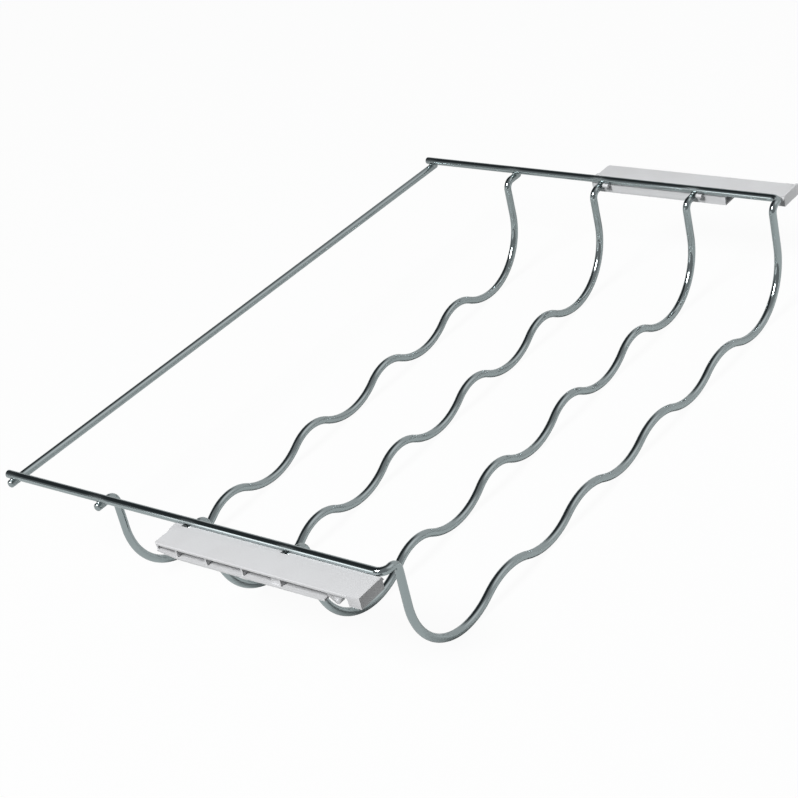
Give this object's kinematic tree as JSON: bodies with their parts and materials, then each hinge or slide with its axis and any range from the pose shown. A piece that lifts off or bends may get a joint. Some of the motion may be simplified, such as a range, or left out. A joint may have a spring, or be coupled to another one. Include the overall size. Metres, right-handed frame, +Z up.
{
  "type": "refrigerator bottle rack",
  "caption": "Chromed steel wire rack for lying bottles: waved wires welded under two side rails, a rear cross rod, and pale plastic runners clipped outside the rails.",
  "frame": {"origin": "on the ground under the middle of the rack; the waves' lowest points stand on Z = 0", "axes": "+X to the rack's right across the bottles, +Y to the rear cross rod, +Z up"},
  "size_m": [0.4966, 0.303, 0.0787],
  "materials": {
    "chrome_wire": "bright plated steel wire",
    "runner_plastic": "smooth moulded, slightly glossy"
  },
  "bodies": {
    "root": {"frame_wire": "chrome_wire", "rear_cross_rod": "chrome_wire", "wave_wire_front": "chrome_wire", "wave_wire_middle": "chrome_wire", "wave_wire_rear": "chrome_wire", "weld_collars": "chrome_wire", "runner_left": "runner_plastic", "runner_right": "runner_plastic"}
  },
  "joints": []
}
